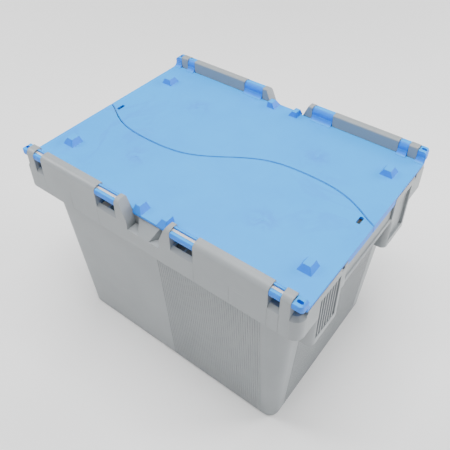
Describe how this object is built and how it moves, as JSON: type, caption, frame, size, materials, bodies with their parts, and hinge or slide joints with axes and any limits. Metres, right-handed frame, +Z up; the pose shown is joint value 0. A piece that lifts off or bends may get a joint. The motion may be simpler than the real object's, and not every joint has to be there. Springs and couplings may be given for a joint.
{
  "type": "stacking crate with hinged lids",
  "caption": "Tapered grey plastic crate with hand-grip ends and a flat blue top that splits along an S-shaped line, each half hinged on a rod at a long side.",
  "frame": {"origin": "centre of the footprint on the ground, under the tub", "axes": "+X along the crate, +Y across it from the front hinge side to the back one, +Z up"},
  "size_m": [0.4, 0.3, 0.294],
  "materials": {
    "crate_grey": "moulded polypropylene, fine matt texture",
    "rod_grey": "smooth drawn plastic rod",
    "lid_blue": "moulded polypropylene, satin with light scuffs"
  },
  "bodies": {
    "crate": {"tub": "crate_grey", "front_rim": "crate_grey", "back_rim": "crate_grey", "right_rim": "crate_grey", "left_rim": "crate_grey", "front_left_rod": "rod_grey", "front_right_rod": "rod_grey", "back_left_rod": "rod_grey", "back_right_rod": "rod_grey"},
    "front_lid": {"front_lid": "lid_blue"},
    "back_lid": {"back_lid": "lid_blue"}
  },
  "joints": [
    {"name": "front_lid_hinge", "type": "hinge", "parent": "crate", "child": "front_lid", "pos_m": [0, -0.143, 0.287], "axis": [1, 0, 0], "range_deg": [0, 260]},
    {"name": "back_lid_hinge", "type": "hinge", "parent": "crate", "child": "back_lid", "pos_m": [0, 0.143, 0.287], "axis": [-1, 0, 0], "range_deg": [0, 260]}
  ]
}
